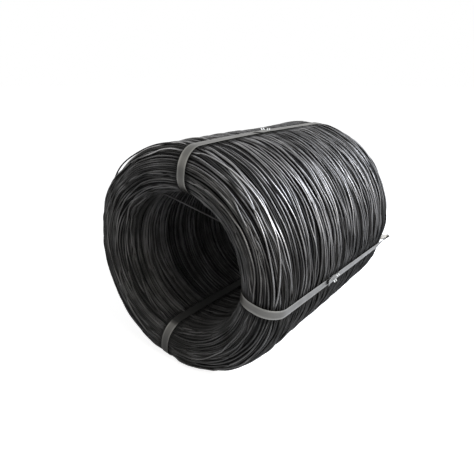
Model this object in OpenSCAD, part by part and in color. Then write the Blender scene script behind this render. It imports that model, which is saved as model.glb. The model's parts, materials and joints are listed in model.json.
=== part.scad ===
// Coil of wire rod bound by three steel straps, lying on its side.
// Millimetres, +Z up. The coil's axis runs along Y and the end that faces -Y is the front.
// A strap's place round the coil is in degrees from the top, clockwise as seen from the front.

/* [Coil] */
// Outside diameter over the turns
coil_od = 830; // [760:10:900]
// Depth of the winding, from the outside to the bore
wall = 161; // [120:1:200]
// Length over the two ends
coil_length = 990; // [800:10:1200]
// Rounding of the outer rims
rim_r = 70; // [40:5:80]
// Rounding of the bore's two mouths
mouth_r = 75; // [40:5:80]

/* [Wire] */
// Diameter of the wire rod
wire_d = 5.5; // [5:0.5:8]
// How far each turn on the ends nests into the next
turn_nest = 0.25; // [0.1:0.05:0.6]
// Distance between the bundles that the turns on the outside lie in
bundle_pitch = 37; // [25:1:60]
// Depth of the grooves between the bundles
groove_depth = 8; // [3:0.5:10]

/* [Strap] */
// Width of the strap
strap_w = 32; // [19:1:40]
// Thickness of the strap
strap_t = 0.9; // [0.6:0.1:1.2]
// Gap between a strap and the turns that it lies on
strap_gap = 0.2; // [0.1:0.05:0.3]

/* [Strap joint] */
// Length of the free end that lies over the strap, ahead of the notches
tail_l = 70; // [40:5:120]
// How far the free end's cut slants across the strap
tail_slant = 18; // [0:1:30]
// Length of the lap behind the notches, before it comes down to the coil
lap_back = 24; // [15:1:50]
// Length over which the lap comes down
lap_ramp = 12; // [5:1:30]
// Length of a notch along the strap
notch_l = 8; // [4:1:12]
// Depth of a notch from the strap's edge
notch_depth = 5; // [3:0.5:8]
// Distance between the two notches in an edge
notch_pitch = 15; // [14:1:24]
// Height of the tab that is bent up out of a notch
tab_h = 7; // [4:0.5:10]
// Angle that a tab is bent up by
tab_tilt = 50; // [20:5:80]

/* [Top strap] */
// Place of the top strap round the coil, in degrees
top_angle = 7; // [0:1:20]
// Lean of the top strap across the coil's length, in degrees
top_lean = 1.9; // [-6:0.1:6]
// Place of its joint along the coil, from the middle
top_joint = 10; // [-150:5:150]

/* [Right strap] */
// Place of the right strap round the coil, in degrees
right_angle = 102.5; // [90:0.5:125]
// Lean of the right strap across the coil's length, in degrees
right_lean = -2.7; // [-6:0.1:6]
// Place of its joint along the coil, from the middle
right_joint = -60; // [-150:5:150]
// How far its loose loop stands out past the back end
right_slack = 60; // [20:5:90]

/* [Bottom strap] */
// Place of the bottom strap round the coil, in degrees
bottom_angle = 190; // [190:1:205]
// Lean of the bottom strap across the coil's length, in degrees
bottom_lean = 0.6; // [-6:0.1:6]
// Place of its joint along the coil, from the middle
bottom_joint = 0; // [-150:5:150]
// Angle of its tabs, which the weight of the coil has pressed down
bottom_tab_tilt = 5; // [0:1:10]

/* [Hidden] */

$fn = 96;
coil_r = coil_od / 2;
bore_r = coil_r - wall;
half = coil_length / 2;
// The two roundings always leave a flat between them on the end
rim = min(rim_r, 0.45 * wall);
mouth = min(mouth_r, 0.48 * wall);

wire_r = wire_d / 2;
turn_pitch = wire_d - turn_nest;
// The body under the end turns lies below the valleys between them
turn_bed = 0.9 * wire_r;
// The rounds of two bundles would meet a little below the floor of the groove between them
bundle_meet = 1.15 * groove_depth;
// Land that is left between the last groove and the rim
rim_land = 1;

// Radii of the faces of the strap and of the lap over it, on the outside of the coil
strap_under = coil_r + strap_gap;
strap_top_r = strap_under + strap_t;
lap_top_r = strap_top_r + strap_t;
// Part of a turn that a strap's curved blank covers, and how far its cutting slab reaches
blank_angle = 70;
slab_reach = coil_length;
// A tab starts this far inside the strap, so that the two are one strip
tab_root = 0.3;

// Places a shape that is built round Z on the floor, with its axis along Y and its box centred
module lay() {
    translate([0, -right_slack / 2, coil_r])
        rotate([-90, 0, 0])
            children();
}

// Quarter of a disc about a corner's centre, on the side that the signs give
module quarter(centre, r, sx, sy) {
    translate(centre)
        intersection() {
            circle(r);
            scale_to_side(sx, sy) square(2 * r);
        }
}

// Mirrors a shape in the first quadrant into the quadrant that the signs give
module scale_to_side(sx, sy) {
    mirror([sx < 0 ? 1 : 0, 0])
        mirror([0, sy < 0 ? 1 : 0])
            children();
}

// Section of the coil's wall, with radius along x and the axis along y, grown on every side
module wall_section(grow) {
    x_bore = bore_r - grow;
    x_mouth = bore_r + mouth;
    x_rim = coil_r - rim;
    x_out = coil_r + grow;
    y_mouth = half - mouth;
    y_rim = half - rim;
    y_end = half + grow;
    translate([x_mouth, -y_end]) square([x_rim - x_mouth, 2 * y_end]);
    translate([x_bore, -y_mouth]) square([x_mouth - x_bore, 2 * y_mouth]);
    translate([x_rim, -y_rim]) square([x_out - x_rim, 2 * y_rim]);
    for (side = [-1, 1]) {
        quarter([x_mouth, side * y_mouth], mouth + grow, -1, side);
        quarter([x_rim, side * y_rim], rim + grow, 1, side);
    }
}

// Wires along a quarter turn about a centre, evenly spaced from one angle to the next
module turns_on_arc(centre, path_r, from) {
    count = ceil(path_r * PI / 2 / turn_pitch);
    for (i = [0 : count - 1]) {
        a = from + 90 * (i + 0.5) / count;
        translate(centre + path_r * [cos(a), sin(a)]) circle(wire_r);
    }
}

// Wires across the flat of the back end
module turns_on_flat() {
    width = wall - rim - mouth;
    count = ceil(width / turn_pitch);
    for (i = [0 : count - 1])
        translate([bore_r + mouth + width * (i + 0.5) / count, half - wire_r]) circle(wire_r);
}

// What is cut from the outside to leave the turns there in round bundles, their crests on its face
module grooves() {
    length = 2 * (half - rim - rim_land);
    count = round(length / bundle_pitch);
    step = length / count;
    crest = (step * step / 4 + bundle_meet * bundle_meet) / (2 * bundle_meet);
    difference() {
        translate([coil_r - groove_depth, -length / 2]) square([2 * groove_depth, length]);
        for (i = [0 : count - 1])
            translate([coil_r - crest, (i + 0.5) * step - length / 2]) circle(crest);
    }
}

// Section of the coil: bundles outside, a plain bore, and each turn round on the two ends
module coil_section() {
    difference() {
        union() {
            wall_section(-turn_bed);
            translate([bore_r, mouth - half]) square([mouth, 2 * (half - mouth)]);
            translate([coil_r - rim, rim - half]) square([rim, 2 * (half - rim)]);
        }
        grooves();
    }
    for (side = [0, 1])
        mirror([0, side]) {
            turns_on_arc([coil_r - rim, half - rim], rim - wire_r, 0);
            turns_on_flat();
            turns_on_arc([bore_r + mouth, half - mouth], mouth - wire_r, 90);
        }
}

module coil() {
    color("#2c2c2f")
        lay()
            rotate_extrude()
                coil_section();
}

// Inner corner of a strip of thickness t that bends at tip on its way from a to c
function mitre(a, tip, c, t) =
    let (u = (a - tip) / norm(a - tip), v = (c - tip) / norm(c - tip), b = (u + v) / norm(u + v))
    tip + b * t / abs(u[0] * b[1] - u[1] * b[0]);

// Section of a strap round the wall; with slack it runs straight past the back rim to a sharp bend
module strap_section(slack) {
    difference() {
        wall_section(strap_gap + strap_t);
        wall_section(strap_gap);
        if (slack > 0)
            translate([coil_r - rim, half - rim]) square(2 * rim);
    }
    if (slack > 0) {
        wall_end = [strap_top_r, half - rim];
        tip = [strap_top_r, half + slack];
        face_end = [coil_r - rim, half + strap_gap + strap_t];
        inner_tip = mitre(wall_end, tip, face_end, strap_t);
        polygon([wall_end, tip, face_end, face_end - [0, strap_t], inner_tip, wall_end - [strap_t, 0]]);
    }
}

// Section of the lap: it starts inside the strap and comes down behind the notches
module lap_section(joint) {
    inside = strap_top_r - strap_t / 2;
    ahead = joint - 2 * tail_l;
    behind = joint + lap_back;
    polygon([[inside, ahead], [lap_top_r, ahead], [lap_top_r, behind], [inside, behind + lap_ramp]]);
}

// What is cut off the lap, in the strap's own plane, to leave its free end slanted
module tail_offcut(joint) {
    free = joint - tail_l;
    polygon([
        [strap_w, free - tail_slant / 2],
        [-strap_w, free + 1.5 * tail_slant],
        [-strap_w, free - 2 * tail_l],
        [strap_w, free - 2 * tail_l]
    ]);
}

// Turns a section into the part of a ring that a strap is cut from
module blank() {
    rotate_extrude(angle = blank_angle, start = -blank_angle / 2)
        children();
}

// Stretches an outline in the strap's own plane outwards from the coil's axis
module outwards() {
    rotate([90, 0, 90])
        linear_extrude(coil_od)
            children();
}

// The four notches, or the tabs bent up out of them, two in each edge
module at_notches(joint) {
    for (side = [-1, 1], along = [-1, 1])
        translate([strap_top_r, side * (strap_w / 2 - notch_depth), joint + along * notch_pitch / 2])
            rotate([0, 0, side * 90])
                mirror([0, side > 0 ? 0 : 1, 0])
                    children();
}

module notch() {
    translate([0, -2 * notch_depth, -notch_l / 2])
        cube([2 * notch_depth, 4 * notch_depth, notch_l]);
}

module tab(tilt) {
    rotate([0, 0, -tilt])
        translate([-tab_root, -strap_t, -notch_l / 2])
            cube([tab_h + tab_root, 2 * strap_t, notch_l]);
}

// One strap: a strip that leans across the coil, its lapped ends and its notch joint
module strap(angle, lean, joint, tilt = tab_tilt, slack = 0) {
    color("#8c8e8a")
        lay()
            rotate([0, 0, angle - 90]) {
                difference() {
                    intersection() {
                        blank() {
                            strap_section(slack);
                            lap_section(joint);
                        }
                        rotate([lean, 0, 0])
                            translate([0, -strap_w / 2, -slab_reach])
                                cube([coil_od, strap_w, 2 * slab_reach]);
                    }
                    intersection() {
                        blank()
                            translate([strap_top_r, joint - 4 * tail_l])
                                square([2 * strap_t, 5 * tail_l]);
                        rotate([lean, 0, 0]) outwards() tail_offcut(joint);
                    }
                    rotate([lean, 0, 0]) at_notches(joint) notch();
                }
                rotate([lean, 0, 0]) at_notches(joint) tab(tilt);
            }
}

module strap_top() {
    strap(top_angle, top_lean, top_joint);
}

module strap_right() {
    strap(right_angle, right_lean, right_joint, slack = right_slack);
}

module strap_bottom() {
    strap(bottom_angle, bottom_lean, bottom_joint, tilt = bottom_tab_tilt);
}

coil();
strap_top();
strap_right();
strap_bottom();
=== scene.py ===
import json

import bpy
import numpy as np
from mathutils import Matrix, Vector


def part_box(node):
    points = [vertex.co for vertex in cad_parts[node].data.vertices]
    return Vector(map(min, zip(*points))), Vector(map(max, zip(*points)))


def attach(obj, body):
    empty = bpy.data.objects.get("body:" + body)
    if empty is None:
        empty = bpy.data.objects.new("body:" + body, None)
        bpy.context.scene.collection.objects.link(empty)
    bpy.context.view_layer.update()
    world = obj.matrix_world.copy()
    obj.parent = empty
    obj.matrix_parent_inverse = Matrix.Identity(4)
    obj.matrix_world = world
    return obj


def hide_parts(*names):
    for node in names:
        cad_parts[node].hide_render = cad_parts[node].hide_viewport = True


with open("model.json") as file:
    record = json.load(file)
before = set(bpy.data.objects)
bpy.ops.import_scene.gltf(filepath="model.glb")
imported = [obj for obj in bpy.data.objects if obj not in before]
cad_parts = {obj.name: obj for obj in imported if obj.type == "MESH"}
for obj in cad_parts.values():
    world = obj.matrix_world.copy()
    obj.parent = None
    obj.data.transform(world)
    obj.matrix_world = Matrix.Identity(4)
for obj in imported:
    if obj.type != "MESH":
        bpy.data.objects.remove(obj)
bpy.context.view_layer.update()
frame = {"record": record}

# The winding: one long black annealed steel wire rod, wound on a reel into a thick wall. A bed of turns lies
# side by side all the way round the wall's section, and looser turns lie on top of it, cross each other at a
# slant and leave gaps. The straps press them down. Each turn is drawn as a closed ring.
coil_lo, coil_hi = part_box("coil")
coil_r = (coil_hi.z - coil_lo.z) / 2
half = (coil_hi.y - coil_lo.y) / 2
axis_y = (coil_hi.y + coil_lo.y) / 2
axis_z = (coil_hi.z + coil_lo.z) / 2
bore_r = frame["record"]["mounts"][0]["dims"]["r_mm"] / 1000
rim_r, mouth_r = 0.070, 0.075
wire_d = 0.0055
wire_r = wire_d / 2
# How far below the coil's face the foot of the bed lies, and the centre line of its wires
foot_depth = 2.3 * wire_d
bed_depth = foot_depth - wire_r
# Points round each turn, as angles from the top, clockwise as seen from the front
steps = 150
clock = 2 * np.pi * np.arange(steps) / steps
# Points on each quarter circle of the wall's section
arc = 60
seed = np.random.default_rng(41)


def wall_outline(depth):
    """Outline of the wall's section, a depth inside its surface: four quarter circles, at the back rim,
    back mouth, front mouth and front rim, with straight runs between. Gives the length along it, its
    radius and axial place, and its outward normal, for np.interp."""
    corners = ((coil_r - rim_r, half - rim_r, rim_r), (bore_r + mouth_r, half - mouth_r, mouth_r),
               (bore_r + mouth_r, mouth_r - half, mouth_r), (coil_r - rim_r, rim_r - half, rim_r))
    rows = []
    for quarter, (r0, y0, r) in enumerate(corners):
        turn = np.linspace(0, np.pi / 2, arc) + quarter * np.pi / 2
        nr, ny = np.cos(turn), np.sin(turn)
        rows.append(np.stack([r0 + (r - depth) * nr, y0 + (r - depth) * ny, nr, ny], 1))
    rows = np.concatenate(rows + [rows[0][:1]])
    length = np.concatenate([[0], np.cumsum(np.hypot(*np.diff(rows[:, :2], axis=0).T))])
    return length, rows[:, 0], rows[:, 1], rows[:, 2], rows[:, 3]


run, run_r, run_y, run_nr, run_ny = wall_outline(bed_depth)
around = run[-1]
# Lengths along the section at the middles and ends of the quarter circles
back_rim, back_face, back_mouth, bore_start = run[[arc // 2, arc - 1, arc + arc // 2, 2 * arc - 1]]
bore_stop, front_mouth, front_face = run[[2 * arc, 2 * arc + arc // 2, 3 * arc]]
front_rim, outside_start = run[[3 * arc + arc // 2, 4 * arc - 1]]


def slow_waves(count, waves, fall=0.6):
    """One row for each turn: a sum of whole waves round the turn, with random heights, which fall off
    with the wave's number, and random phases, brought to a mean square of one."""
    k = np.arange(1, waves + 1)
    height = seed.normal(size=(count, waves)) / k ** fall
    phase = seed.uniform(0, 2 * np.pi, (count, waves))
    rows = (height[:, :, None] * np.cos(k[None, :, None] * clock + phase[:, :, None])).sum(1)
    return rows / np.sqrt((height ** 2).sum(1, keepdims=True) / 2)


# Bed: turns with a little room between them that share one slow drift
bed_pitch, bed_reach = 1.32 * wire_d, 0.0015
drift_rows, drift_reach = 40, 0.010
bed_count = int(around / bed_pitch)
bed_u = np.arange(bed_count) * around / bed_count
drift_set = slow_waves(drift_rows, 3)
drift_at = bed_u / around * drift_rows
drift_row = drift_at.astype(int) % drift_rows
drift_part = (0.5 - 0.5 * np.cos(np.pi * (drift_at % 1)))[:, None]
drift = drift_set[drift_row] * (1 - drift_part) + drift_set[(drift_row + 1) % drift_rows] * drift_part
bed = bed_u[:, None] + drift_reach * drift + bed_reach * slow_waves(bed_count, 5)


def freedom(along):
    """How freely a turn wanders: fully outside and on the rims, half as much on the mouths, and least in
    the bore, where the reel held it."""
    at = [back_rim, back_mouth, bore_start, bore_stop, front_mouth, front_rim]
    return np.interp(along % around, at, [1.0, 0.5, 0.3, 0.3, 0.5, 1.0])


# Loose turns: bundles of one to three turns a gap apart, closer on the ends than outside. They share the
# drift and wander a little on their own, and stray turns wander further and cross the others.
pitch = np.interp(bed_u, [0, back_face, bore_start, bore_stop, front_face, outside_start, around],
                  [0.0150, 0.0085, 0.0105, 0.0105, 0.0085, 0.0108, 0.0150])
in_bundle = 1.03 * wire_d
bundle_reach, turn_reach, stray_reach = 0.0032, 0.0018, 0.013
strays = 56
ordinal = np.cumsum(around / bed_count / pitch)
bundles = int(ordinal[-1])
bundle_u = np.interp(np.arange(bundles) + seed.uniform(0.3, 0.7, bundles), ordinal, bed_u)
sizes = seed.choice([1, 2, 3], bundles, p=[0.85, 0.13, 0.02])
bundle_way = bundle_reach * slow_waves(bundles, 9, 0.4)
member = np.repeat(np.arange(bundles), sizes)
place = np.concatenate([np.arange(n) - (n - 1) / 2 for n in sizes])
shared = np.stack([np.interp(bundle_u, bed_u, drift[:, i]) for i in range(steps)], 1)
wander = bundle_way[member] + turn_reach * slow_waves(len(member), 22, 0.2)
middle = (bundle_u[member] + place * in_bundle)[:, None]
loose = middle + drift_reach * shared[member] + freedom(bundle_u[member])[:, None] * wander
stray_u = seed.uniform(0, around, strays)[:, None]
loose = np.concatenate([loose, stray_u + stray_reach * freedom(stray_u) * slow_waves(strays, 3)])
# Some turns lie higher on the turns below than others, most so outside, and those are worn most
lift = np.concatenate([seed.random(bundles)[member], np.ones(strays)])
outside = loose.mean(1) % around > front_rim
wear = np.clip(0.15 + 0.75 * lift + seed.uniform(-0.5, 0.5, len(loose)), 0, 1)
wear = np.concatenate([np.zeros(bed_count), np.where(outside, wear, 0.3 + 0.5 * wear)])
rest = wire_d * (1 + np.where(outside, 0.9, 0.3) * (lift - 0.3))
rest = np.concatenate([np.zeros(bed_count), rest])

# All turns in order round the section: how far along it (u) and how high above the bed's line (h)
u = np.concatenate([bed, loose])
is_bed = np.arange(len(u)) < len(bed)
order = np.argsort(u.mean(1))
u, is_bed, wear, rest = u[order], is_bed[order], wear[order], rest[order][:, None]
ripple_reach, least_rise = 0.0020, 0.1 * wire_d
ripple = ripple_reach * freedom(u.mean(1))[:, None] * slow_waves(len(u), 22, 0.2)
rest = np.where(is_bed[:, None], rest, np.maximum(rest + ripple, least_rise))
h = rest.copy()

# Settling: each turn is pulled in to the bed and pushed off the turns that it would pass through, each
# of them by its share; the stiffness of the wire evens out its way from one step to the next
rounds, neighbours, stiff = 45, 12, 0.1
push_part, longest_move, pull_in, highest = 0.45, 0.001, 0.00012, 2.1 * wire_d
share = np.where(is_bed, 0.08, 0.5)[:, None]
for _ in range(rounds):
    move_u, move_h = np.zeros_like(u), np.zeros_like(h)
    for step in range(1, neighbours + 1):
        du = np.roll(u, -step, 0) - u
        du[-step:] += around
        dh = np.roll(h, -step, 0) - h
        apart = np.maximum(np.hypot(du, dh), 1e-5)
        push = np.clip(wire_d - apart, 0, None) / apart
        own_share = share / (share + np.roll(share, -step, 0))
        move_u -= own_share * push * du
        move_h -= own_share * push * dh
        move_u += np.roll((1 - own_share) * push * du, step, 0)
        move_h += np.roll((1 - own_share) * push * dh, step, 0)
    u = u + np.clip(push_part * move_u, -longest_move, longest_move)
    h = np.clip(h + np.clip(push_part * move_h, -longest_move, longest_move) - pull_in, rest, highest)
    u = (1 - 2 * stiff) * u + stiff * (np.roll(u, 1, 1) + np.roll(u, -1, 1))
    h = (1 - 2 * stiff) * h + stiff * (np.roll(h, 1, 1) + np.roll(h, -1, 1))

# How proud each turn stands of the turns beside it: 1 on top, where handling rubs it, 0 down in a gap. The
# turns down in the gaps come out darker from it, partly as kept oxide and partly as painted shade.
turns_beside, near_by, full_cover = 7, 1.3 * wire_d, 0.7 * wire_d
cover = np.zeros_like(h)
for step in range(1, turns_beside + 1):
    du = np.roll(u, -step, 0) - u
    du[-step:] += around
    near = np.exp(-(du / near_by) ** 2)
    dh = np.roll(h, -step, 0) - h
    cover = np.maximum(np.maximum(cover, dh * near), np.roll(-dh * near, step, 0))
proud = 1 - np.clip(cover / full_cover, 0, 1)


def settled(r, y, angle):
    """How far the winding has moved out of the round at a point: a few bell curves round the coil, each on
    one part of its length, from nothing at the bore to all of it outside. The front has slumped low on the
    left and is flattened at its upper left, the top is a little flat, and the back bulges at its right."""
    bell = lambda middle, wide: np.exp(-(((np.degrees(angle) - middle + 180) % 360 - 180) / wide) ** 2)
    ease = lambda a, b: 0.5 - 0.5 * np.cos(np.pi * np.clip((y - a) / (b - a), 0, 1))
    front, back = ease(-0.20, -0.40), ease(0.25, 0.42)
    out = (0.009 * bell(222, 24) - 0.004 * bell(272, 16) - 0.0105 * bell(323, 13)) * front
    out = out - 0.006 * bell(346, 16) * (1 - back) + 0.005 * bell(48, 26) * back
    return out * np.clip((r - bore_r) / (coil_r - bore_r), 0, 1)


def to_place(along, high, angle):
    """A point of the winding: from the length along the section and the height over the bed's line to the
    radius and axial place, then round the coil's axis by the angle from the top. Gives the outward way
    too."""
    along = along % around
    nr, ny = np.interp(along, run, run_nr), np.interp(along, run, run_ny)
    r = np.interp(along, run, run_r) + high * nr
    y = np.interp(along, run, run_y) + high * ny
    r = r + settled(r, y, angle)
    out = np.stack([nr * np.sin(angle), ny + 0 * angle, nr * np.cos(angle)], -1)
    point = np.stack([r * np.sin(angle), y + axis_y + 0 * angle, r * np.cos(angle) + axis_z], -1)
    return point, out


# Straps: place round the coil and lean, in degrees, as in the part
strap_set = ((7.0, 1.9), (102.5, -2.7), (190.0, 0.6))


def under_strap(along, angle, near, far):
    """How close a strap is: 1 up to near from its middle line, falling to 0 at far."""
    r, s = np.interp(along % around, run, run_r), np.interp(along % around, run, run_y)
    press = np.zeros(np.broadcast(r, angle).shape)
    for place, lean in strap_set:
        off, lean = angle - np.radians(place), np.radians(lean)
        away = np.abs(r * np.sin(off) + s * np.tan(lean)) * np.cos(lean)
        away = np.where(np.cos(off) > 0, away, 1.0)
        part = np.clip((far - away) / (far - near), 0, 1)
        press = np.maximum(press, part * part * (3 - 2 * part))
    return press


# Under a strap no wire stands above the coil's face, and away from it the winding swells by 2 mm
strap_clear, swell = 0.0004, 0.002
press = under_strap(u, clock[None, :], 0.020, 0.062)
face_level = -strap_clear + bed_depth - wire_r
pressed = np.minimum(h, h * (1 - press) + np.minimum(h, face_level) * press)
h = np.where(press > 0, pressed, h) + swell * (1 - press)

# The floor keeps the lowest turns from hanging below it
floor_clear = 0.0002
points, outs = to_place(u, h, clock[None, :])
points[..., 2] += np.clip(wire_r + floor_clear - points[..., 2], 0, None)


def ring_wires(centre, out, sides):
    """Closed wires: a circle of the wire's radius carried round each ring, in the plane of the outward
    way and of the way across the ring."""
    ahead = np.roll(centre, -1, 1) - np.roll(centre, 1, 1)
    ahead /= np.linalg.norm(ahead, axis=-1, keepdims=True)
    across = np.cross(ahead, out)
    across /= np.linalg.norm(across, axis=-1, keepdims=True)
    up = np.cross(across, ahead)
    a = 2 * np.pi * np.arange(sides) / sides
    return (centre[:, :, None] + wire_r * np.cos(a)[:, None] * up[:, :, None]
            + wire_r * np.sin(a)[:, None] * across[:, :, None])


def grid_piece(name, g, shade, material):
    """A mesh from a grid of points of shape (strips, rows, columns, 3): every strip is closed both ways.
    Its UV map holds metres along the rows and across them, and 'tone' a shade for each row."""
    strips, rows, cols = g.shape[:3]
    s, i, j = np.meshgrid(np.arange(strips), np.arange(rows), np.arange(cols), indexing="ij")
    i2, j2 = (i + 1) % rows, (j + 1) % cols
    at = lambda a, b: (s * rows + a) * cols + b
    corners = np.stack([at(i, j), at(i, j2), at(i2, j2), at(i2, j)], -1).reshape(-1, 4)
    pace = np.linalg.norm(np.roll(g[:, :, 0], -1, 1) - g[:, :, 0], axis=-1)
    far = np.cumsum(pace, 1)
    girth = np.pi * wire_d / cols
    pair = lambda a, b: np.stack([np.broadcast_to(a[:, :, None], s.shape), b * girth], -1)
    uvs = np.stack([pair(far - pace, j), pair(far - pace, j + 1), pair(far, j + 1), pair(far, j)], -2)
    tones = np.broadcast_to(shade[:, :, None], s.shape)
    mesh = bpy.data.meshes.new(name)
    mesh.vertices.add(s.size)
    mesh.vertices.foreach_set("co", g.astype(np.float32).ravel())
    mesh.loops.add(corners.size)
    mesh.loops.foreach_set("vertex_index", corners.astype(np.int32).ravel())
    mesh.polygons.add(len(corners))
    mesh.polygons.foreach_set("loop_start", np.arange(0, corners.size, 4, dtype=np.int32))
    mesh.update(calc_edges=True)
    mesh.validate()
    mesh.shade_smooth()
    mesh.uv_layers.new(name="UVMap").uv.foreach_set("vector", uvs.astype(np.float32).ravel())
    tone_of = mesh.attributes.new("tone", "FLOAT", "POINT")
    tone_of.data.foreach_set("value", tones.astype(np.float32).ravel())
    mesh.materials.append(material)
    obj = bpy.data.objects.new(name, mesh)
    bpy.context.scene.collection.objects.link(obj)
    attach(obj, "root")
    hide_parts("coil")


def linear(hex_colour):
    """sRGB hex to linear, with full alpha."""
    c = np.array([int(hex_colour[i:i + 2], 16) for i in (1, 3, 5)]) / 255
    return (*np.where(c <= 0.04045, c / 12.92, ((c + 0.055) / 1.055) ** 2.4), 1)


def add(tree, kind, inputs=(), **settings):
    """Adds a node: its settings, and its inputs by name or number, as values or as sockets to link."""
    node = tree.nodes.new(kind)
    for name, value in settings.items():
        setattr(node, name, value)
    for name, value in dict(inputs).items():
        if isinstance(value, bpy.types.NodeSocket):
            tree.links.new(value, node.inputs[name])
        else:
            node.inputs[name].default_value = value
    return node


# Black annealed wire: a thin black oxide from the annealing pot over drawn steel. It is a dark satin, dull
# down in the gaps and rubbed to the bare steel where a turn stands proud, a little dusty by the patch. The
# tone it reads also holds painted shade in the gaps, on the lower side, in the bore's roof and along the
# straps, and a painted sheen on the right shoulder.
black_wire = bpy.data.materials.new("black_annealed_steel_wire")
black_wire.use_nodes = True
tree = black_wire.node_tree
shader = tree.nodes["Principled BSDF"]
own = add(tree, "ShaderNodeAttribute", attribute_name="tone")
uv = add(tree, "ShaderNodeUVMap", uv_map="UVMap")
where = add(tree, "ShaderNodeTexCoord")
# Oxide patches 80 mm long along a turn, dust clouds 250 mm across, rub marks 150 mm long on spots of 100 mm
patch_map = add(tree, "ShaderNodeMapping", {"Vector": uv.outputs["UV"], "Scale": (1 / 0.08, 1 / 0.02, 1)})
patches = add(tree, "ShaderNodeTexNoise", {"Vector": patch_map.outputs[0], "Scale": 1.0, "Detail": 3.0})
clouds = add(tree, "ShaderNodeTexNoise",
             {"Vector": where.outputs["Object"], "Scale": 1 / 0.25, "Detail": 2.0})
rub_map = add(tree, "ShaderNodeMapping", {"Vector": uv.outputs["UV"], "Scale": (1 / 0.15, 1 / 0.008, 1)})
rubs = add(tree, "ShaderNodeTexNoise", {"Vector": rub_map.outputs[0], "Scale": 1.0, "Detail": 2.0})
spots = add(tree, "ShaderNodeTexNoise", {"Vector": where.outputs["Object"], "Scale": 1 / 0.1, "Detail": 2.0})
dust_part = add(tree, "ShaderNodeMapRange",
                {"Value": clouds.outputs["Fac"], "From Min": 0.4, "From Max": 0.65})
oxide = add(tree, "ShaderNodeMix",
            {0: dust_part.outputs[0], 6: linear("#0a0a09"), 7: linear("#0d0c09")}, data_type="RGBA")
steel = add(tree, "ShaderNodeMix",
            {0: patches.outputs["Fac"], 6: linear("#828180"), 7: linear("#cbcaca")}, data_type="RGBA")
spot_part = add(tree, "ShaderNodeMapRange",
                {"Value": spots.outputs["Fac"], "From Min": 0.35, "From Max": 0.65,
                 "To Min": 0.75, "To Max": 1.35})
rubbed = add(tree, "ShaderNodeMath", {0: rubs.outputs["Fac"], 1: spot_part.outputs[0]}, operation="MULTIPLY")
worn = add(tree, "ShaderNodeMath", {0: own.outputs["Fac"], 1: rubbed.outputs[0]}, operation="MULTIPLY")
worn_part = add(tree, "ShaderNodeMapRange",
                {"Value": worn.outputs[0], "From Min": 0.06, "From Max": 0.54, "To Max": 0.9})
colour = add(tree, "ShaderNodeMix",
             {0: worn_part.outputs[0], 6: oxide.outputs[2], 7: steel.outputs[2]}, data_type="RGBA")
polish = add(tree, "ShaderNodeMapRange",
             {"Value": own.outputs["Fac"], "From Max": 0.6, "To Min": 0.6, "To Max": 0.26})
gloss = add(tree, "ShaderNodeMath",
            {0: patches.outputs["Fac"], 1: 0.2, 2: polish.outputs[0]}, operation="MULTIPLY_ADD")
pits = add(tree, "ShaderNodeBump", {"Strength": 0.15, "Distance": 0.0003, "Height": rubs.outputs["Fac"]})
tree.links.new(colour.outputs[2], shader.inputs["Base Color"])
tree.links.new(worn_part.outputs[0], shader.inputs["Metallic"])
tree.links.new(gloss.outputs[0], shader.inputs["Roughness"])
tree.links.new(pits.outputs[0], shader.inputs["Normal"])
shader.inputs["IOR"].default_value = 1.35

# The turns of the bed: the same wire, still under the soot of the pot, which is powdery and hardly shines.
# Its near-black colour is also painted shade for the dark between the turns on top. The soot is in patches 60
# mm long along a turn.
soot_and_shade_wire = bpy.data.materials.new("soot_and_painted_shade_steel_wire")
soot_and_shade_wire.use_nodes = True
tree = soot_and_shade_wire.node_tree
shader = tree.nodes["Principled BSDF"]
uv = add(tree, "ShaderNodeUVMap", uv_map="UVMap")
soot_map = add(tree, "ShaderNodeMapping", {"Vector": uv.outputs["UV"], "Scale": (1 / 0.06, 1 / 0.02, 1)})
soot = add(tree, "ShaderNodeTexNoise", {"Vector": soot_map.outputs[0], "Scale": 1.0, "Detail": 2.0})
# Painted shade with soot: the bed's near-black colour
colour = add(tree, "ShaderNodeMix",
             {0: soot.outputs["Fac"], 6: linear("#040404"), 7: linear("#0d0d0e")}, data_type="RGBA")
gloss = add(tree, "ShaderNodeMapRange",
            {"Value": soot.outputs["Fac"], "From Min": 0.3, "From Max": 0.7, "To Min": 0.5, "To Max": 0.8})
tree.links.new(colour.outputs[2], shader.inputs["Base Color"])
tree.links.new(gloss.outputs[0], shader.inputs["Roughness"])
shader.inputs["IOR"].default_value = 1.3

# Handling has rubbed the front rim and the outside next to it most
mean_u = u.mean(1) % around
handled = np.interp(mean_u, [0, back_rim, back_face, bore_start, bore_stop, front_face, front_rim,
                             outside_start, around],
                    [0.74, 0.8, 0.72, 0.85, 0.6, 0.72, 0.98, 1.0, 0.74])
# Outside, slings and hooks have rubbed the upper side, the right shoulder most, and the lower side keeps its
# dull oxide and dust. Partly this is painted light: the lower side is darkened as painted shade and the right
# shoulder, under the lamp's bright band, is kept lighter as a painted sheen. The roof of the bore is darkened
# as painted shade, and the turns along each strap as a painted shadow.
outer_part = np.interp(mean_u, [0, back_face, front_face, outside_start], [1.0, 0.55, 0.55, 1.0])
# Painted sheen with wear: more bright worn steel round the right shoulder, where the lamp's band falls
shoulder = np.exp(-((np.degrees(clock) - 62) / 34) ** 2)
# Painted shade with dust and oxide: the lower side is darkened
lower = 1 - (0.7 + 0.3 * shoulder) * (0.25 + 0.75 * np.clip(np.cos(clock) + 0.25, 0, 1))
bore_part = np.interp(mean_u, [back_face, bore_start, bore_stop, front_face], [0.0, 1.0, 1.0, 0.0])
roof = 0.35 * np.clip(np.cos(clock) + 0.2, 0, 1)
tone = (handled * wear)[:, None] * proud * (1 - outer_part[:, None] * lower)
# Painted shade: the roof of the bore is darkened
tone = tone * (1 - bore_part[:, None] * roof)
# Painted shadow: the turns along each strap are darkened
tone = tone * (1 - 0.8 * under_strap(u, clock[None, :], 0.022, 0.034))
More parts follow.
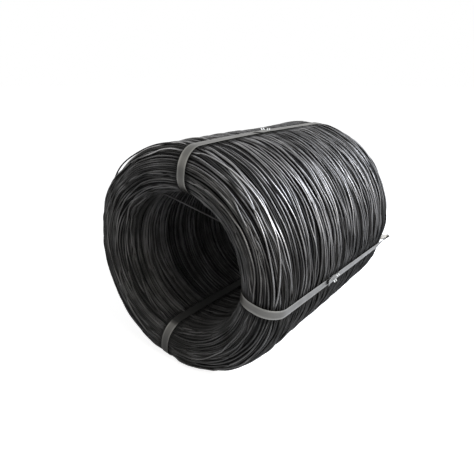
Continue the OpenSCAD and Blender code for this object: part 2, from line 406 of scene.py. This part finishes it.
# Each turn's seam is at a place of its own
turned = (np.arange(steps) + seed.integers(0, steps, (len(u), 1))) % steps
points = np.take_along_axis(points, turned[..., None], 1)
outs = np.take_along_axis(outs, turned[..., None], 1)
tone = np.take_along_axis(tone, turned, 1)
# One piece for the turns of each part of the wall, and one for the bed below them, which has fewer points
outside_middle, bore_middle = (outside_start + around) / 2, (bore_start + bore_stop) / 2
region = np.digitize(mean_u, [bore_start, bore_stop, outside_start])
places = (("outside_front", (region == 3) & (mean_u < outside_middle)),
          ("outside_back", (region == 3) & (mean_u >= outside_middle)),
          ("end_front", region == 2), ("end_back", region == 0),
          ("bore_back", (region == 1) & (mean_u < bore_middle)),
          ("bore_front", (region == 1) & (mean_u >= bore_middle)))
for name, chosen in places:
    top, low = chosen & ~is_bed, chosen & is_bed
    grid_piece(name, ring_wires(points[top], outs[top], 6), tone[top], black_wire)
    bed_rings = ring_wires(points[low][:, ::3], outs[low][:, ::3], 5)
    grid_piece(name + "_bed", bed_rings, tone[low][:, ::3], soot_and_shade_wire)

# Two sprung turns of the same wire: one leaves the bore's wall and cuts across the top of the bore as a
# chord, and one stands off the outside at the upper left of the front rim. The wire's own spring holds
# them there.
fine_steps = 360
fine = 2 * np.pi * np.arange(fine_steps) / fine_steps
# The chord: from where to where it leaves the wall, how softly it bends there, and its place along the coil
chord_from, chord_to = np.radians(-33.5), np.radians(58)
chord_mid, chord_half = (chord_from + chord_to) / 2, (chord_to - chord_from) / 2
chord_r, chord_soft, chord_y = bore_r + 0.6 * wire_r, 0.005, -0.380
straight = chord_r * np.cos(chord_half) / np.maximum(np.cos(fine - chord_mid), 0.3)
chord_path = -chord_soft * np.log(np.exp(-chord_r / chord_soft) + np.exp(-straight / chord_soft))
# The other: how far it stands off, round which angle and how wide, how deep it lies elsewhere, and its place
# along the coil
hump_high, hump_at, hump_wide, hump_foot, hump_y = 0.0138, 313, 14, 0.0045, -0.437
hump = np.exp(-(((np.degrees(fine) - hump_at + 180) % 360 - 180) / hump_wide) ** 2)
hump_path = coil_r - hump_foot + hump_high * hump
paths = np.stack([chord_path, hump_path])
side = np.stack([np.full(fine_steps, chord_y), np.full(fine_steps, hump_y)]) + axis_y
sprung = np.stack([paths * np.sin(fine), side, paths * np.cos(fine) + axis_z], -1)
away = np.stack([np.sin(fine), 0 * fine, np.cos(fine)], -1) * np.array([-1.0, 1.0])[:, None, None]
grid_piece("sprung_turns", ring_wires(sprung, away, 8), 0 * paths + np.array([[0.3], [0.15]]), black_wire)

# The imported turns below: what shows between the turns of the bed, in the dark, is the next layer down, in
# the same soot, whose near-black colour is partly painted shade. It is one closed skin at the foot of the
# bed.
_, deep_r, deep_y, _, _ = wall_outline(foot_depth)
deep_at = np.linspace(0, 4 * arc, 2 * arc + 1)[:-1]
deep_r = np.interp(deep_at, np.arange(4 * arc + 1), deep_r)[::-1]
deep_y = np.interp(deep_at, np.arange(4 * arc + 1), deep_y)[::-1]
coarse = clock[::3, None]
skin = np.stack([deep_r * np.sin(coarse), deep_y + axis_y + 0 * coarse, deep_r * np.cos(coarse) + axis_z], -1)
grid_piece("packed_turns", skin[None], 0 * coarse.T, soot_and_shade_wire)

# The straps: cold-rolled steel strapping, 32 mm wide and 0.9 mm thick, pulled tight round the wall. The ends
# lap on the outside, and notches cut into both edges lock them, their tabs bent up. The right strap was
# left slack at the back, where it stands out in a twisted loop.
strap_w, strap_t, strap_gap = 0.032, 0.0009, 0.0002
tail_l, tail_slant, lap_back, lap_ramp = 0.070, 0.018, 0.024, 0.012
notch_l, notch_depth, notch_pitch = 0.008, 0.005, 0.015
slack = 0.060
lowest_z = 0.0003
_, wrap_r, wrap_y, _, _ = wall_outline(-strap_gap - strap_t / 2)


def strap_place(at, lean, w, r, y):
    """A point of a strap: w is its distance from the strap's middle plane, which leans across the coil, and
    r and y are its radius and its place along the coil's axis. It stays above the floor."""
    lean = np.radians(lean)
    angle = np.radians(at) + np.arcsin(np.clip((w / np.cos(lean) - y * np.tan(lean)) / r, -1, 1))
    r = r + settled(r, y, angle)
    z = np.maximum(r * np.cos(angle) + axis_z, lowest_z)
    return np.stack([r * np.sin(angle), y + axis_y + 0 * r, z], -1)


def strip_mesh(name, strips, material, node):
    """A mesh of strips, each a grid of points (rows along it, columns round its section) and the columns'
    places across it. The two ends are closed by quads from the upper side to the lower. A strip whose
    faces point inwards, by the sign of its volume, is turned round."""
    points, corners, uvs, start = [], [], [], 0
    for grid, across in strips:
        rows, cols = grid.shape[:2]
        i, j = np.meshgrid(np.arange(rows - 1), np.arange(cols), indexing="ij")
        here, beside = i * cols + j, i * cols + (j + 1) % cols
        quads = np.stack([here, beside, beside + cols, here + cols], -1).reshape(-1, 4)
        k = np.arange(cols // 2 - 1)
        cap = np.stack([k, cols - 1 - k, cols - 2 - k, k + 1], -1)
        quads = np.concatenate([quads, cap, cap[:, ::-1] + (rows - 1) * cols])
        a, b, c, d = (grid.reshape(-1, 3)[quads[:, n]] for n in range(4))
        facing = np.cross(b - a, d - a)
        if (facing * (a + b + c + d)).sum() - 4 * (facing @ grid.mean((0, 1))).sum() < 0:
            quads = quads[:, ::-1]
        far = np.concatenate([[0], np.cumsum(np.linalg.norm(np.diff(grid.mean(1), axis=0), axis=-1))])
        uvs.append(np.stack([far[quads // cols], across[quads % cols]], -1).reshape(-1, 2))
        points.append(grid.reshape(-1, 3))
        corners.append(quads + start)
        start += rows * cols
    mesh = bpy.data.meshes.new(name)
    mesh.from_pydata(np.concatenate(points).tolist(), [], np.concatenate(corners).tolist())
    uv_map = mesh.uv_layers.new(name="UVMap")
    uv_map.uv.foreach_set("vector", np.concatenate(uvs).astype(np.float32).ravel())
    mesh.shade_smooth()
    mesh.set_sharp_from_angle(angle=np.radians(40))
    mesh.materials.append(material)
    obj = bpy.data.objects.new(name, mesh)
    bpy.context.scene.collection.objects.link(obj)
    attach(obj, "root")
    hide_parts(node)


# Bright rolled steel under a thin film of oil: satin, with fine streaks along the strap, dull stains, and
# edges made lighter than the middle, partly as wear that keeps them bright and partly as a painted highlight.
strap_steel = bpy.data.materials.new("cold_rolled_strapping_steel")
strap_steel.use_nodes = True
tree = strap_steel.node_tree
shader = tree.nodes["Principled BSDF"]
uv = add(tree, "ShaderNodeUVMap", uv_map="UVMap")
# Streaks 120 mm long and 2 mm apart, stains 60 mm across
streak_map = add(tree, "ShaderNodeMapping", {"Vector": uv.outputs["UV"], "Scale": (1 / 0.12, 1 / 0.002, 1)})
streaks = add(tree, "ShaderNodeTexNoise", {"Vector": streak_map.outputs[0], "Scale": 1.0, "Detail": 2.0})
stain = add(tree, "ShaderNodeTexNoise", {"Vector": uv.outputs["UV"], "Scale": 1 / 0.06, "Detail": 3.0})
part = add(tree, "ShaderNodeSeparateXYZ", {"Vector": uv.outputs["UV"]})
edge = add(tree, "ShaderNodeMath", {0: part.outputs["Y"]}, operation="ABSOLUTE")
# Lighter edges: partly wear and partly a painted highlight
edge_wear_and_highlight_part = add(tree, "ShaderNodeMapRange",
                {"Value": edge.outputs[0], "From Min": 0.008, "From Max": 0.015})
worn = add(tree, "ShaderNodeMix",
           {0: streaks.outputs["Fac"], 6: linear("#555451"), 7: linear("#72716e")}, data_type="RGBA")
stained_part = add(tree, "ShaderNodeMapRange",
                   {"Value": stain.outputs["Fac"], "From Min": 0.55, "From Max": 0.75, "To Max": 0.5})
stained = add(tree, "ShaderNodeMix",
              {0: stained_part.outputs[0], 6: worn.outputs[2], 7: linear("#605f5a")}, data_type="RGBA")
rubbed = add(tree, "ShaderNodeMix",
             {0: edge_wear_and_highlight_part.outputs[0], 6: stained.outputs[2], 7: linear("#868581")}, data_type="RGBA")
gloss = add(tree, "ShaderNodeMapRange",
            {"Value": stain.outputs["Fac"], "From Min": 0.3, "From Max": 0.7, "To Min": 0.3, "To Max": 0.45})
# Painted shade blackens the strap in the bore, and its lowest part is darker towards the bottom
where = add(tree, "ShaderNodeTexCoord")
centred = add(tree, "ShaderNodeMapping",
              {"Vector": where.outputs["Object"], "Location": (0, 0, -axis_z), "Scale": (1, 0, 1)})
from_axis = add(tree, "ShaderNodeVectorMath", {0: centred.outputs[0]}, operation="LENGTH")
# Painted shade: inside the bore the strap turns black and dull
bore_shade_part = add(tree, "ShaderNodeMapRange",
                {"Value": from_axis.outputs["Value"], "From Min": bore_r + 0.003, "From Max": bore_r + 0.014,
                 "To Min": 0.97, "To Max": 0.0})
above = add(tree, "ShaderNodeSeparateXYZ", {"Vector": where.outputs["Object"]})
# Darker towards the bottom: the strap blackens below 0.20 m
low_dark_part = add(tree, "ShaderNodeMapRange",
                {"Value": above.outputs["Z"], "From Min": 0.04, "From Max": 0.20,
                 "To Min": 0.85, "To Max": 0.0})
black_part = add(tree, "ShaderNodeMath",
                 {0: bore_shade_part.outputs[0], 1: low_dark_part.outputs[0]}, operation="MAXIMUM")
blackened = add(tree, "ShaderNodeMix",
                {0: black_part.outputs[0], 6: rubbed.outputs[2], 7: linear("#0c0c0b")}, data_type="RGBA")
bare_part = add(tree, "ShaderNodeMath", {0: 1.0, 1: black_part.outputs[0]}, operation="SUBTRACT")
dull = add(tree, "ShaderNodeMath", {0: black_part.outputs[0], 1: 0.85}, operation="MULTIPLY")
roughness = add(tree, "ShaderNodeMath", {0: gloss.outputs[0], 1: dull.outputs[0]}, operation="MAXIMUM")
tree.links.new(blackened.outputs[2], shader.inputs["Base Color"])
tree.links.new(bare_part.outputs[0], shader.inputs["Metallic"])
tree.links.new(roughness.outputs[0], shader.inputs["Roughness"])

# The tabs of the notches: the same steel where the tool has sheared and bent it, bright, with scratches 6 mm
# long and 0.8 mm apart
tab_steel = bpy.data.materials.new("sheared_strapping_steel")
tab_steel.use_nodes = True
tree = tab_steel.node_tree
shader = tree.nodes["Principled BSDF"]
uv = add(tree, "ShaderNodeUVMap", uv_map="UVMap")
scratch_map = add(tree, "ShaderNodeMapping",
                  {"Vector": uv.outputs["UV"], "Scale": (1 / 0.006, 1 / 0.0008, 1)})
scratches = add(tree, "ShaderNodeTexNoise", {"Vector": scratch_map.outputs[0], "Scale": 1.0, "Detail": 2.0})
bright = add(tree, "ShaderNodeMix",
             {0: scratches.outputs["Fac"], 6: linear("#c9cac7"), 7: linear("#f0f0ee")}, data_type="RGBA")
gloss = add(tree, "ShaderNodeMapRange", {"Value": scratches.outputs["Fac"], "To Min": 0.25, "To Max": 0.5})
tree.links.new(bright.outputs[2], shader.inputs["Base Color"])
tree.links.new(gloss.outputs[0], shader.inputs["Roughness"])
shader.inputs["Metallic"].default_value = 1.0


def strap_pieces(node, at, lean, joint, tilt, loose_end, bow, loop):
    """One strap and its tabs. Its middle line runs from the free end over the lap, down to the turns, round
    the wall and back under the lap; the section is a flat strip, turned about that line on the way to the
    loop and in it. loose_end is how far the free end stands up, bow how much the strap curves sideways,
    as a parabola along the coil, and loop the twist of its loop in degrees, or 0 for no loop."""
    base = coil_r + strap_gap + strap_t / 2
    lap = base + strap_t
    tail = np.linspace(joint - tail_l, joint + lap_back, 30)
    held = 0.02
    raised = loose_end * np.clip((joint - held - tail) / (tail_l - held), 0, 1) ** 2
    ahead = np.linspace(joint + lap_back + lap_ramp, half - rim_r, 40)
    behind = np.linspace(rim_r - half, joint + lap_back, 60)[1:]
    # The loop's twist starts well ahead of it, so that the strap lies on the turns by one edge there
    early, early_y = 0.16, -0.30
    twist_at = lambda y: early * loop * np.clip((y - early_y) / (half - rim_r - early_y), 0, 1)
    on_edge = lambda y: strap_w / 2 * np.sin(np.radians(np.abs(twist_at(y))))
    bow_y, bow_even = -0.12, 0.115
    sideways = lambda y: bow * ((y - bow_y) ** 2 - bow_even)
    if loop:
        # Out past the back rim, round a small bend, and back in to the end
        turn = np.linspace(0, 0.80 * np.pi, 14)
        bend = 0.006
        out_y = np.linspace(half - rim_r, half + slack - bend, 16)[1:]
        out_r = base + on_edge(half) * np.linspace(1, 0, len(out_y) + 1)[1:]
        bend_r, bend_y = base - bend + bend * np.cos(turn), half + slack - bend + bend * np.sin(turn)
        home = np.linspace(0, 1, 16)[1:]
        landing_r = wrap_r[arc] - 0.004
        home_r = bend_r[-1] + (landing_r - bend_r[-1]) * home
        home_y = bend_y[-1] + (wrap_y[arc] - bend_y[-1]) * home
        wrap = slice(arc + 2, 4 * arc)
        r = np.concatenate([out_r, bend_r, home_r, wrap_r[wrap]])
        y = np.concatenate([out_y, bend_y, home_y, wrap_y[wrap]])
        twist_out = early + (1 - early) * np.linspace(0, 1, len(out_y)) ** 0.8
        twist = loop * np.concatenate([twist_out, 1 + 0 * turn, 1 - home ** 1.5, 0 * wrap_r[wrap]])
    else:
        r, y, twist = wrap_r[:4 * arc], wrap_y[:4 * arc], np.zeros(4 * arc)
    twist = np.concatenate([twist_at(tail), twist_at(ahead), twist, twist_at(behind)])
    y = np.concatenate([tail, ahead, y, behind])
    r = np.concatenate([lap + raised + on_edge(tail), base + on_edge(ahead), r, base + on_edge(behind)])
    # Rows at an even pitch, and a close pair at each edge of each notch
    row_pitch, pair_gap = 0.008, 0.00004
    far = np.concatenate([[0], np.cumsum(np.hypot(np.diff(r), np.diff(y)))])
    cuts = np.array([-1, 1])[:, None] * notch_pitch / 2 + np.array([-1, 1]) * notch_l / 2
    cuts = (tail_l + cuts.ravel())[:, None] + np.array([-1, 1]) * pair_gap / 2
    cuts = np.concatenate([cuts.ravel(), far[-1] - lap_back - tail_l + cuts.ravel()])
    rows = np.sort(np.concatenate([np.arange(0, far[-1], row_pitch), cuts, far[-1:]]))
    r, y, twist = (np.interp(rows, far, a) for a in (r, y, twist))
    dr, dy = np.gradient(r, rows), np.gradient(y, rows)
    nr, ny = dy / np.hypot(dr, dy), -dr / np.hypot(dr, dy)
    outer = (rows < tail_l + lap_back) | (rows > far[-1] - tail_l - lap_back)
    notched = outer & (np.abs(np.abs(y - joint) - notch_pitch / 2) < notch_l / 2)
    reach = (strap_w / 2 - notched * notch_depth)[:, None]
    # Section: a flat strip with its edges eased, the upper side first, then the lower side back
    across = np.array([-1, -0.98, -0.6, -0.2, 0.2, 0.6, 0.98, 1])
    across = np.concatenate([across, across[::-1]])
    up = np.array([0.6, 1, 1, 1, 1, 1, 1, 0.6]) * strap_t / 2
    up = np.concatenate([up, -up])
    v, z = across * reach, up[None, :]
    turned = np.radians(twist)[:, None]
    w, lift = v * np.cos(turned) - z * np.sin(turned), v * np.sin(turned) + z * np.cos(turned)
    # The free end is cut at a slant, the lap lies a little askew, and the strap bows off its straight way,
    # all of it outside and none of it in the bore
    lap_askew, bow_start, bow_full = 0.0025, bore_r + 0.03, coil_r - 0.02
    slant = np.clip(1 - rows / (0.6 * tail_l), 0, 1)[:, None] * tail_slant * across / 2
    askew = lap_askew * np.clip(1 - rows / (tail_l + lap_back), 0, 1)
    fade = np.clip((r - bow_start) / (bow_full - bow_start), 0, 1)
    w = w + (askew + sideways(y) * fade * fade * (3 - 2 * fade))[:, None]
    grid = strap_place(at, lean, w, r[:, None] + lift * nr[:, None], y[:, None] + lift * ny[:, None] + slant)
    strip_mesh(node + "_band", [(grid, across * strap_w / 2)], strap_steel, node)
    # Tabs: each leaves the lap inside the strap's edge and curls up to its tilt, two layers thick
    tab_l, tab_bend, tab_clear = 0.011, 0.004, 0.0003
    length = np.linspace(0, tab_l, 9)
    root_w = strap_w / 2 - notch_depth
    tabs = []
    for edge_side, up_by in zip((-1, 1), tilt):
        bent = np.radians(up_by) * np.clip(length / tab_bend, 0, 1)
        reach_w = np.concatenate([[0], np.cumsum(np.cos(bent[1:]) * np.diff(length))])
        reach_r = np.concatenate([[0], np.cumsum(np.sin(bent[1:]) * np.diff(length))])
        rise = on_edge(joint) + edge_side * root_w * np.sin(np.radians(twist_at(joint)))
        thick = np.array([1, 1, -1, -1]) * strap_t
        tab_w = edge_side * (root_w + reach_w[:, None] - thick * np.sin(bent)[:, None]) + sideways(joint)
        tab_r = lap + rise + reach_r[:, None] + thick * np.cos(bent)[:, None]
        for along in (-1, 1):
            tab_y = joint + along * notch_pitch / 2 + np.array([-1, 1, 1, -1]) * (notch_l / 2 - tab_clear)
            tabs.append((strap_place(at, lean, tab_w, tab_r, tab_y[None, :] + 0 * tab_r), tab_y - joint))
    strip_mesh(node + "_tabs", tabs, tab_steel, node)


strap_pieces("strap_top", *strap_set[0], joint=0.010, tilt=(50, 110), loose_end=0.002, bow=0.095, loop=0)
strap_pieces("strap_right", *strap_set[1], joint=-0.060, tilt=(110, 50), loose_end=0.006, bow=0, loop=-38)
strap_pieces("strap_bottom", *strap_set[2], joint=0, tilt=(5, 5), loose_end=0, bow=0, loop=0)

# Floor and light: a white studio floor and a white surround, one large soft lamp high behind the right side,
# which draws the bright band along the turns, a smaller one at the front right for the side below it, and a
# weak fill from the front left.
floor_mesh = bpy.data.meshes.new("floor")
floor_mesh.from_pydata([(-60, -60, 0), (60, -60, 0), (60, 60, 0), (-60, 60, 0)], [], [(0, 1, 2, 3)])
floor = bpy.data.objects.new("floor", floor_mesh)
bpy.context.scene.collection.objects.link(floor)
floor_white = bpy.data.materials.new("white_painted_floor")
floor_white.use_nodes = True
tree = floor_white.node_tree
tree.nodes.clear()
path = add(tree, "ShaderNodeLightPath")
shown = add(tree, "ShaderNodeMath",
            {0: path.outputs["Is Glossy Ray"], 1: path.outputs["Is Transmission Ray"]}, operation="MAXIMUM")
shown_part = add(tree, "ShaderNodeMath", {0: shown.outputs[0], 1: 0.35}, operation="MULTIPLY")
glow_part = add(tree, "ShaderNodeMath",
                {0: path.outputs["Is Camera Ray"], 1: 0.85, 2: shown_part.outputs[0]},
                operation="MULTIPLY_ADD")
paint = add(tree, "ShaderNodeBsdfDiffuse", {"Color": linear("#d8d8d8")})
glow = add(tree, "ShaderNodeEmission", {"Color": linear("#ffffff"), "Strength": glow_part.outputs[0]})
both = add(tree, "ShaderNodeAddShader", {0: paint.outputs[0], 1: glow.outputs[0]})
add(tree, "ShaderNodeOutputMaterial", {"Surface": both.outputs[0]})
floor_mesh.materials.append(floor_white)

surround = bpy.data.worlds.new("white_surround")
bpy.context.scene.world = surround
surround.use_nodes = True
tree = surround.node_tree
tree.nodes.clear()
path = add(tree, "ShaderNodeLightPath")
seen = add(tree, "ShaderNodeMath",
           {0: path.outputs["Is Camera Ray"], 1: path.outputs["Is Glossy Ray"]}, operation="MAXIMUM")
seen_or_through = add(tree, "ShaderNodeMath",
                      {0: seen.outputs[0], 1: path.outputs["Is Transmission Ray"]}, operation="MAXIMUM")
sky_level = add(tree, "ShaderNodeMapRange",
                {"Value": seen_or_through.outputs[0], "To Min": 0.25, "To Max": 1.0})
sky = add(tree, "ShaderNodeBackground", {"Color": linear("#ffffff"), "Strength": sky_level.outputs[0]})
add(tree, "ShaderNodeOutputWorld", {"Surface": sky.outputs[0]})


def area_lamp(name, place, size, watts, colour):
    """A square soft lamp that looks at the middle of the coil."""
    lamp = bpy.data.lights.new(name, "AREA")
    lamp.size, lamp.energy, lamp.color = size, watts, linear(colour)[:3]
    obj = bpy.data.objects.new(name, lamp)
    obj.location = place
    obj.rotation_euler = (Vector((0, axis_y, axis_z)) - obj.location).to_track_quat("-Z", "Y").to_euler()
    bpy.context.scene.collection.objects.link(obj)


area_lamp("lamp_back_right", (2.35, 0.7, 2.4), 1.8, 152, "#eaf1ff")
area_lamp("lamp_front_right", (2.4, -1.0, 1.7), 1.2, 46, "#fffaf2")
area_lamp("lamp_front_left", (-2.0, -2.0, 2.0), 2.0, 4, "#fffaf2")

# Camera: at the photograph's angle and lens, level
eye = bpy.data.cameras.new("camera")
eye.lens, eye.sensor_width = 32.92, 36.0
eye.clip_end = 200
camera = bpy.data.objects.new("camera", eye)
camera.location = (0.982, -1.4847, 1.0184)
camera.rotation_euler = Vector((-0.5579, 0.7558, -0.3428)).to_track_quat("-Z", "Y").to_euler()
bpy.context.scene.collection.objects.link(camera)
bpy.context.scene.camera = camera
bpy.context.scene.view_settings.view_transform = "Standard"
